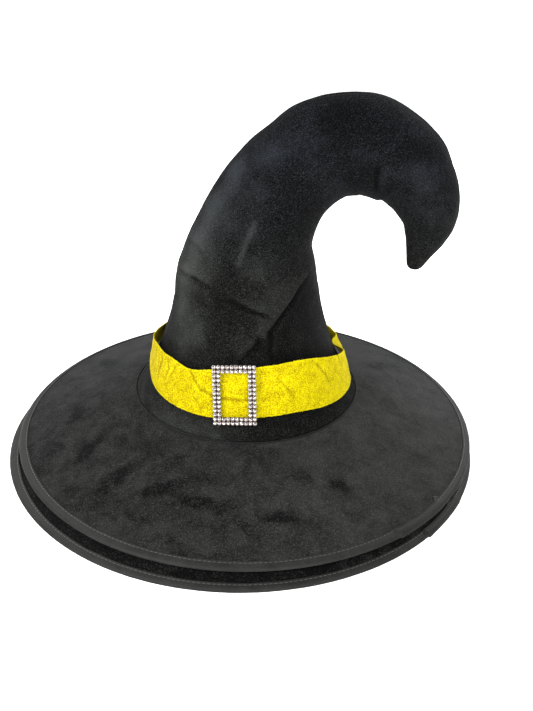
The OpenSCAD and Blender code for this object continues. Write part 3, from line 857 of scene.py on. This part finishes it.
def brim_binding(name, place_point, edge, width, node, lap_start, corner_at, most):
    """A strip folded round the edge: over the top, round a half circle, back under, and inside again.

    Its inner edge is a rounded fold with a groove behind it, where the stitches
    pull. Past the lap's start it stands higher, because its end lies over its start,
    and a corner of the turning sticks out further on. Small puckers run across it.
    """
    theta = whole_turn(binding_angles)[:, None]
    middle = -brim_t / 2
    nose = brim_t / 2 + binding_t
    inner_edge = edge - width
    centre = edge - nose
    bend = np.linspace(math.pi / 2, -math.pi / 2, 11)
    tight = bend[::-1]
    lip = np.array([0.0, 0.12, 0.4, 0.75, 1.1, 1.35, 1.7])
    lip_rise = np.array([0.25, 0.55, 0.66, 0.62, 0.42, 0.34, 0.46])
    back_r = np.linspace(centre, inner_edge, 8)[1:-1]
    radii = np.concatenate([inner_edge + lip, centre + nose * np.cos(bend), back_r,
        [inner_edge + 0.1, inner_edge, inner_edge], [centre],
        centre + (nose - binding_t) * np.cos(tight)[1:-1], [centre, inner_edge]])
    rises = np.concatenate([lip_rise, middle + nose * np.sin(bend), [-brim_t - binding_t] * 6,
        [-brim_t - binding_t, -brim_t - 0.25, -brim_t], [-brim_t],
        middle + (nose - binding_t) * np.sin(tight)[1:-1], [0.0, 0.0]])
    outside = np.concatenate([[0.6], [1.0] * 17, [0.3] * 6, [0.2, 0, 0], [0] * (len(tight) + 1)])
    ring = np.stack([np.cos(theta) * upper_r, np.sin(theta) * upper_r, 0 * theta], axis=-1)
    pucker = 0.5 + 0.5 * ripple(ring + 0 * radii[None, :, None], 9, 31)
    pucker = pucker * (0.5 + 0.5 * ripple(ring, 55, 32))
    degrees = np.degrees(theta) - (radii[None, :] - inner_edge) * 0.18
    past = np.clip(degrees - lap_start, 0, 60)
    lapped = np.clip(past / 0.35, 0, 1) * (0.7 * np.exp(-past / 2.5) + 0.45 * np.clip((17 - past) / 2, 0, 1))
    proud = outside * (0.16 * pucker + lapped)
    at_inner = np.clip((inner_edge + 1.5 - radii) / 1.5, 0, 1)
    wander = 0.22 * ripple(ring, 26, 33) * np.clip((inner_edge + 3 - radii) / 3, 0, 1)
    wander = wander - 3.6 * at_inner * np.clip(1 - np.abs(np.degrees(theta) - corner_at) / 1.1, 0, 1)
    wander = wander - wider(theta, most) * np.clip((centre - radii) / (centre - inner_edge - 1.7), 0, 1)
    side = np.clip((radii - centre) / nose, 0, 1)
    loops = place_point(radii[None, :] + wander + proud * side,
        theta, rises[None, :] + proud * np.sign(rises - middle) * (1 - side))
    return put_mesh(name, loops, loop_quads(*loops.shape[:2], True), coated_cloth, "hat", [node])


upper_binding = brim_binding("upper_binding", upper_point, upper_r, upper_binding_w, "upper_brim_binding",
    upper_lap_at, upper_corner_at, upper_binding_more)

# ---- Upper binding stitches -------------------------------------------------
# One row of machine stitches in dark grey thread, 3.4 mm apart, that holds the
# binding down near its inner edge.

# Dark grey polyester thread: a slight gloss along each stitch
grey_thread = two_tone("dark grey polyester thread", {"Roughness": 0.5, "Sheen Weight": 0.3},
    "ShaderNodeTexNoise", {"Scale": 1 / 0.0008, "Detail": 1.0}, "#0c0c0c", "#262625")

stitch_pitch = 3.4
stitch_half = 1.35
stitch_r = 0.24
stitch_inset = 1.3


def stitch_row(name, place_point, edge, width, node, most):
    """A row of short stitches, each a six-sided bead that is thin at both ends and sinks at both ends."""
    row_r = edge - width + stitch_inset
    count = int(2 * math.pi * row_r / stitch_pitch)
    middle = np.arange(count)[:, None, None] * 2 * math.pi / count
    along = np.array([-1.0, -0.7, 0.0, 0.7, 1.0])[None, :, None]
    thick = np.array([0.35, 0.85, 1.0, 0.85, 0.35])[None, :, None] * stitch_r
    turn = whole_turn(thread_sides)[None, None, :]
    theta = middle + along * stitch_half / row_r
    rise = 0.52 - 0.2 * along ** 2 + thick * np.sin(turn)
    points = place_point(row_r - wider(theta, most) + thick * np.cos(turn), theta + 0 * turn, rise)
    faces = repeat_faces(closed_stack(points[0]), count, 5 * thread_sides)
    return put_mesh(name, points, faces, grey_thread, "hat", [node])


stitch_row("upper_stitches", upper_point, upper_r, upper_binding_w, "upper_binding_thread",
    upper_binding_more)

# ---- Lower brim -------------------------------------------------------------
# A second brim of the same make, a little wider, joined at the same opening.
# Its edge has slipped to the front left, so it shows under the upper one there.

lower_binding_w, lower_binding_more = 5.2, 2.2
lower_lap_at, lower_corner_at = 315, 328
# Painted shadow: the lower brim's velvet is marked darker, as the upper brim shades it
painted_under_brim_shadow = 0.3
lower_velvet_edge = lower_r - velvet_inset
lower_velvet, flat_points, swell = brim_layer("lower_velvet", lower_point, lower_velvet_edge, -velvet_t, 0.0,
    48, brim_velvet, "lower_brim_velvet", 0.05)
mark(lower_velvet, "crush_and_painted_light", np.concatenate([brim_crush_and_painted_light(flat_points, swell) - painted_under_brim_shadow, unmarked_underside], axis=1))
lower_foam, _, _ = brim_layer("lower_foam", lower_point, lower_r - foam_inset, -velvet_t - foam_t, -velvet_t,
    8, foam, "lower_brim_foam")
lower_backing, _, _ = brim_layer("lower_backing", lower_point, lower_velvet_edge, -brim_t,
    -velvet_t - foam_t, 24, woven_backing, "lower_brim_backing")
brim_wire("lower_wire", lower_point, lower_r, "lower_brim_hoop")
lower_binding = brim_binding("lower_binding", lower_point, lower_r, lower_binding_w, "lower_brim_binding",
    lower_lap_at, lower_corner_at, lower_binding_more)
stitch_row("lower_stitches", lower_point, lower_r, lower_binding_w, "lower_binding_thread",
    lower_binding_more)

# ---- Hat band ---------------------------------------------------------------
# A loose loop of crushed yellow velvet ribbon, sewn at the right side, that
# hangs round the foot of the crown. It sags at the right, leans on the crown
# behind, and a long crease starts at a kink beside the buckle and runs along it.

# Yellow crushed velvet: bright warm pile, paler where it catches the light
yellow_velvet, tree, shader = new_material("yellow crushed velvet ribbon", {
    "Roughness": 0.8, "Specular IOR Level": 0.05, "Sheen Weight": 0.05, "Sheen Roughness": 0.4,
    "Sheen Tint": srgb("#ffe95a")})
place = add_node(tree, "ShaderNodeTexCoord", {}).outputs["Object"]
patches = add_node(tree, "ShaderNodeTexNoise",
    {"Vector": place, "Scale": 1 / 0.006, "Detail": 5.0, "Roughness": 0.7, "Distortion": 0.6})
patchy = add_node(tree, "ShaderNodeMapRange",
    {"Value": patches.outputs["Fac"], "From Min": 0.35, "From Max": 0.65, "To Min": 0.28, "To Max": 0.64})
# Pile tufts are about 0.3 mm; drawn at 0.8 mm so that they show
tufts = add_node(tree, "ShaderNodeTexNoise", {"Vector": place, "Scale": 1 / 0.0008, "Detail": 2.0})
tufty = add_node(tree, "ShaderNodeMapRange",
    {"Value": tufts.outputs["Fac"], "From Min": 0.34, "From Max": 0.66, "To Min": -0.5, "To Max": 0.55})
crush_and_painted_light = add_node(tree, "ShaderNodeAttribute", {}, attribute_name="crush_and_painted_light")
marked = add_node(tree, "ShaderNodeMath", {0: patchy.outputs["Result"], 1: crush_and_painted_light.outputs["Fac"]},
    operation="ADD")
shade = add_node(tree, "ShaderNodeMath", {0: marked.outputs[0], 1: tufty.outputs["Result"]},
    operation="ADD", use_clamp=True)
tone = add_node(tree, "ShaderNodeMix", {0: shade.outputs[0], 6: srgb("#7d6a00"), 7: srgb("#c8ba04")},
    data_type="RGBA")
tree.links.new(tone.outputs[2], shader.inputs["Base Color"])
bump = add_node(tree, "ShaderNodeBump", {"Strength": 0.5, "Distance": 0.0004, "Height": tufts.outputs["Fac"]})
tree.links.new(bump.outputs["Normal"], shader.inputs["Normal"])

band_w = 37.0
band_t = 1.0
band_lean = math.radians(15)
band_z = 27.0
band_slack = 4.7
band_r = float(crown_r(band_z)) + band_slack
# Millimetres round the band in one degree
band_degree = 1.45
# Folds: a line as degrees round from the front and mm up the band, its depth and half width
band_folds = [
    ([(-33, 37), (-30, 28), (-24, 19), (-14, 14.5), (0, 14), (12, 15)], 0.50, 1.3),
    ([(-38, 36), (-42, 27), (-45, 18)], 0.32, 1.3), ([(-50, 33), (-47, 24), (-49, 15)], 0.26, 1.2),
    ([(-58, 35), (-55, 26), (-57, 12)], 0.30, 1.4), ([(-66, 33), (-64, 20)], 0.28, 1.4),
    ([(-28, 12), (-22, 6)], 0.22, 1.2), ([(16, 33), (24, 20), (30, 8)], 0.26, 1.6),
    ([(42, 36), (50, 22), (54, 8)], 0.34, 1.6), ([(64, 34), (70, 16)], 0.34, 1.5),
    ([(120, 34), (134, 12)], 0.3, 1.8), ([(-160, 33), (-150, 10)], 0.3, 1.8),
    ([(-120, 30), (-112, 8)], 0.3, 1.6),
]

# Degrees round from the front towards +X, and how far each edge hangs above or
# below its even line there
hang_keys = [-180, -150, -120, -100, -82, -66, -56, -42, -33, -22, -7, 8, 30, 42, 60, 77, 95, 112, 145]
hang_top = [-6, -8, -13, -11, -8, -2.5, -4, -2.8, -7, -3, 1, 2.2, 3, 1, -7, -14, -20, -22, -13]
hang_bottom = [0, 0, 2, 4.5, 4.8, 2.0, 0.8, -1, -1.5, -2, -1, 0.6, 0.3, -3, -6.5, -7.5, -6, -2, 0]
# How far round the back the upper edge leans on the crown: 0 is not at all, 1 is fully
lean_keys = [0, 82, 97, 104, 111, 120, 130, 240, 272, 360]
lean_parts = [0, 0, 1, 1, 0, 0, 1, 1, 0, 0]
lean_most = 6.8


def hang(degrees, values):
    """An edge's height by angle: straight runs between the keys, averaged over a few degrees."""
    total = np.zeros_like(degrees)
    for slide in (-6, -4, -2, 0, 2, 4, 6):
        total += np.interp((degrees + slide + 180) % 360, np.array(hang_keys) + 180.0, values, period=360)
    return total / 7


def band_creases(degrees, up):
    """Folds of the band by angle and height up it: their push outwards in mm, and their painted shade.

    Each is a valley beside a low ridge, with a narrow line of painted shade along its bottom.
    """
    arc = np.stack([degrees * band_degree, 0 * degrees, up], axis=-1)
    push, dark = np.zeros_like(degrees), np.zeros_like(degrees)
    for line, depth, reach in band_folds:
        path = [(d * band_degree, 0, u) for d, u in line]
        away, side, along = line_distance(arc, path)
        fade = np.clip(np.sin(math.pi * np.clip(along, 0.03, 0.97)), 0, 1) ** 0.5
        ridge = 0.6 * np.exp(-((away - 2 * reach) / (1.2 * reach)) ** 2)
        push += fade * depth * (ridge - np.exp(-(away / reach) ** 2))
        dark += fade * depth * np.exp(-(away / 0.75) ** 2)
    return push, dark


def band_point(theta, part, out):
    """A point of the band: part 0 to 1 up its width, out mm outwards from its inner face."""
    degrees = (np.degrees(theta) + 90 + 180) % 360 - 180
    low = hang(degrees, hang_bottom)
    high = band_w + hang(degrees, hang_top)
    up = low + (high - low) * part
    push, dark = band_creases(degrees + 0 * up, up)
    ground = np.stack(np.broadcast_arrays(band_r * np.cos(theta), band_r * np.sin(theta), up), axis=-1)
    push = np.clip(push + 0.16 * ripple(ground, 13, 41) + 0.08 * ripple(ground, 5, 42), -0.55, 0.55)
    # The lower edge lies pressed against the crown at the left, the whole width just
    # behind the right side, and the upper edge round the back
    pressed = -4.6 * np.exp(-((degrees + 80) / 24) ** 2) * np.clip(1.3 - up / band_w, 0, 1)
    pressed = pressed - 3 * np.exp(-((degrees - 95) / 7) ** 2)
    behind = np.interp(degrees % 360, lean_keys, lean_parts)
    pressed = pressed - lean_most * behind * np.clip((up - 8) / (high - 8), 0, 1) ** 1.4
    r = band_r - up * math.sin(band_lean) + pressed + (out + push) * math.cos(band_lean)
    z = band_z + up * math.cos(band_lean) + (out + push) * math.sin(band_lean)
    # Painted light on the band: highlights on what stands proud, painted shade along the folds, and lighter
    # towards the right side
    crush_and_painted_light = 0.5 * push - 0.9 * dark + 0.16 * np.sin(np.radians(degrees))
    return np.stack(np.broadcast_arrays(r * np.cos(theta), r * np.sin(theta), z), axis=-1), crush_and_painted_light


theta = whole_turn(540)[:, None]
outer_rows, inner_rows = 44, 24
# Up the outer face, over the rounded top edge, down the inner face, round the lower edge
fold = np.linspace(-math.pi / 2, math.pi / 2, 5)[1:-1]
edge_part = 0.5 * band_t / band_w
rise = np.concatenate([np.linspace(edge_part, 1 - edge_part, outer_rows),
    1 - edge_part + edge_part * np.cos(fold), np.linspace(1 - edge_part, edge_part, inner_rows),
    edge_part - edge_part * np.cos(fold)])
reach = np.concatenate([np.full(outer_rows, band_t), 0.5 * band_t * (1 + np.sin(-fold)),
    np.zeros(inner_rows), 0.5 * band_t * (1 + np.sin(fold))])
loops, band_painted_light = band_point(theta, rise[None, :], reach[None, :])
# The cut edges are a fuzz of tufts, so their points stand a little up and down
edges = np.clip(1 - np.minimum(rise, 1 - rise) * band_w / 1.6, 0, 1)
loops[..., 2] += np.random.default_rng(47).normal(0, 0.2, loops.shape[:2]) * edges[None, :]
band = put_mesh("velvet_band", loops, loop_quads(*loops.shape[:2], True), yellow_velvet, "band",
    ["hat_band"])
# The cut edges are marked lighter as well
mark(band, "crush_and_painted_light", band_painted_light + 0.35 * edges[None, :])

# ---- Band join stitches -----------------------------------------------------
# A short column of yellow stitches on the inside, where the loop's ends are
# sewn together at the right side.

# Yellow polyester thread: a slight gloss
yellow_thread = two_tone("yellow polyester thread", {"Roughness": 0.5, "Sheen Weight": 0.3},
    "ShaderNodeTexNoise", {"Scale": 1 / 0.0008, "Detail": 1.0}, "#b3920f", "#dcc22c")

join_stitches = 8
join_half = 1.5
join_depth = 0.3
along = np.array([-1.0, -0.6, 0.0, 0.6, 1.0])[:, None]
thick = np.array([0.5, 0.9, 1.0, 0.9, 0.5])[:, None] * thread_r
turn = whole_turn(8)[None, :]
beads = [band_point(along * join_half / band_r + 0 * turn, part + thick * np.sin(turn) / band_w,
    thick * np.cos(turn) - join_depth)[0] for part in np.linspace(0.08, 0.92, join_stitches)]
put_mesh("band_join_stitches", np.array(beads), repeat_faces(closed_stack(beads[0]), join_stitches, 40),
    yellow_thread, "band", ["band_join_thread"])

# ---- Buckle frame and bar ---------------------------------------------------
# A stamped plate with a window, plated silver, that stands in front of the band,
# and a strip behind the band held by a post above and one below it.

# Nickel-plated zinc: cool silver, slightly clouded, with fine casting marks
nickel = two_tone("nickel plated zinc", {"Metallic": 1.0}, "ShaderNodeTexNoise",
    {"Scale": 1 / 0.0025, "Detail": 3.0}, "#7d7470", "#c9c2ba", matt=(0.18, 0.4))

# Back plate between the cups: painted dark brown, as the shade in the gaps between the stones
gap_shade_zinc = two_tone("plated zinc painted with gap shade", {"Metallic": 0.8, "Roughness": 0.55}, "ShaderNodeTexNoise",
    {"Scale": 1 / 0.003, "Detail": 3.0}, "#1d100e", "#4a342f")
for node, finish in (("buckle_frame", gap_shade_zinc), ("buckle_bar", nickel)):
    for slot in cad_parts[node].material_slots:
        slot.material = finish

# ---- Buckle cups ------------------------------------------------------------
# Eighty small plated cups, soldered side by side on the plate in two rows all
# round, each with four claws bent over its stone.

stone_pitch = 3.3
stones_wide, stones_tall, stones_deep = 10, 14, 2
plate_t = 1.2
run_gap = 0.9
buckle_turn = math.radians(-4.5)
buckle_tilt = math.radians(3)
columns, rows = np.meshgrid(np.arange(stones_wide), np.arange(stones_tall), indexing="ij")
from_side = np.minimum(columns, stones_wide - 1 - columns)
from_end = np.minimum(rows, stones_tall - 1 - rows)
in_frame = np.minimum(from_side, from_end) < stones_deep
stone_x = ((columns + 0.5) * stone_pitch - stones_wide * stone_pitch / 2)[in_frame]
stone_y = ((rows + 0.5) * stone_pitch - stones_tall * stone_pitch / 2)[in_frame]


def on_buckle(x, y, z):
    """From the buckle's axes (across, up the leaning band, out from the plate's back) to the hat's.

    Four steps: a turn by the tilt, a lean against the band, a shift to the middle of
    the band's outer face, and a turn round the hat's axis.
    """
    z = z + run_gap
    across = x * math.cos(buckle_tilt) - y * math.sin(buckle_tilt)
    y = x * math.sin(buckle_tilt) + y * math.cos(buckle_tilt)
    inward = y * math.sin(band_lean) - z * math.cos(band_lean)
    height = y * math.cos(band_lean) + z * math.sin(band_lean)
    inward = inward - (band_r + band_t - band_w * math.sin(band_lean) / 2)
    height = height + band_z + band_w * math.cos(band_lean) / 2
    c, s = math.cos(buckle_turn), math.sin(buckle_turn)
    return np.stack(np.broadcast_arrays(across * c - inward * s, across * s + inward * c, height), axis=-1)


cup_r = stone_pitch * 0.46
cup_wall = 0.36
stone_count = len(stone_x)
turn = whole_turn(16)
claw = np.clip(np.cos(4 * (turn - math.pi / 4)), 0, 1) ** 2
# Outer wall up, over the rim with its claws, and down the inner wall to a floor:
# how far in and how high each ring is, and how much more so at a claw
cup_rings = np.array([(0.08, 0, 0, 0), (0, 0.15, 0, 0), (0, 0.86, 0.06, 0.16), (0.14, 1.0, 0.34, 0.36),
    (0.30, 0.96, 0.30, 0.30), (0.34, 0.8, 0, 0), (cup_wall, 0.25, 0, 0)])
inset, height, claw_in, claw_up = (cup_rings[:, k, None] for k in range(4))
radii = cup_r - inset - claw_in * claw
x = stone_x[:, None, None] + radii * np.cos(turn)
y = stone_y[:, None, None] + radii * np.sin(turn)
cup_points = on_buckle(x, y, plate_t + height + claw_up * claw + 0 * x)
put_mesh("stone_cups", cup_points, repeat_faces(closed_stack(cup_points[0]), stone_count, radii.size), nickel,
    "buckle", ["buckle_cups"])

# ---- Buckle stones ----------------------------------------------------------
# Eighty round cut glass stones with a silvered back, held in the cups by their
# claws. Each has a flat table, two rows of facets above its girdle and two below.

# Foil-backed cut glass: every facet mirrors another part of the room
cut_glass, tree, shader = new_material("foil backed cut glass", {
    "Metallic": 0.75, "Roughness": 0.06, "Coat Weight": 0.6, "Coat Roughness": 0.02})
glint = add_node(tree, "ShaderNodeAttribute", {}, attribute_name="glint")
tree.links.new(glint.outputs["Color"], shader.inputs["Base Color"])

stone_r = cup_r - cup_wall
point_z = 0.25
eighth = whole_turn(8)
half_step = math.pi / 8
# Each ring's radius as a part of the girdle's, its height, and its turn
stone_rings = [(0.82, 0.62, 0.0), (1.0, 0.95, half_step), (1.0, 1.06, half_step), (0.80, 1.36, 0.0),
    (0.52, 1.55, half_step)]
local_x, local_y = (np.concatenate([[0.0], *(part * stone_r * wave(eighth + offset)
    for part, _, offset in stone_rings)]) for wave in (np.cos, np.sin))
local_z = np.concatenate([[point_z], *(np.full(8, height) for _, height, _ in stone_rings)])
rng = np.random.default_rng(17)
spin = rng.uniform(-0.3, 0.3, stone_count)[:, None]
tilt_x, tilt_y = rng.normal(0, 0.05, (2, stone_count, 1))
x = stone_x[:, None] + local_x * np.cos(spin) - local_y * np.sin(spin)
y = stone_y[:, None] + local_x * np.sin(spin) + local_y * np.cos(spin)
z = plate_t + local_z + tilt_x * (x - stone_x[:, None]) + tilt_y * (y - stone_y[:, None])
one_stone = [[0, 1 + (k + 1) % 8, 1 + k] for k in range(8)]
for level, (_, _, offset) in enumerate(stone_rings[:-1]):
    low, high = 1 + 8 * level, 9 + 8 * level
    next_offset = stone_rings[level + 1][2]
    for k in range(8):
        ahead = (k + 1) % 8
        if offset == next_offset:
            one_stone.append([low + k, low + ahead, high + ahead, high + k])
        elif offset < next_offset:
            one_stone += [[low + k, low + ahead, high + k], [low + ahead, high + ahead, high + k]]
        else:
            one_stone += [[low + k, high + ahead, high + k], [low + k, low + ahead, high + ahead]]
one_stone.append([33 + k for k in range(8)])
stones = put_mesh("cut_stones", on_buckle(x, y, z), repeat_faces(one_stone, stone_count, len(local_x)),
    cut_glass, "buckle", ["buckle_stones"], smooth=False)
# One painted reflection a facet: the facets that face up are painted brown-black, where they would mirror
# the dark room above, and the rest mostly white, some grey and some pink
tints = np.array([srgb(text) for text in
    ("#ffffff", "#fbf7f0", "#e8e2dc", "#c9c2c0", "#f1e2dc", "#3a2422", "#6d4f4a", "#1e1514")])
steep = 0.30
faces_each = len(one_stone)
upward = np.array([np.mean([local_y[v] for v in face]) for face in one_stone]) / stone_r
upward = np.tile(upward, stone_count) + rng.normal(0, 0.12, faces_each * stone_count)
dark_reflection = rng.choice([5, 6, 7], upward.size)
light_reflection = rng.choice(5, upward.size, p=[0.4, 0.24, 0.14, 0.1, 0.12])
picks = np.where(upward > steep, dark_reflection, light_reflection)
glints = stones.data.attributes.new("glint", "FLOAT_COLOR", "CORNER")
sizes = np.array([len(face) for face in one_stone] * stone_count)
glints.data.foreach_set("color", np.repeat(tints[picks], sizes, axis=0).astype(np.float32).ravel())
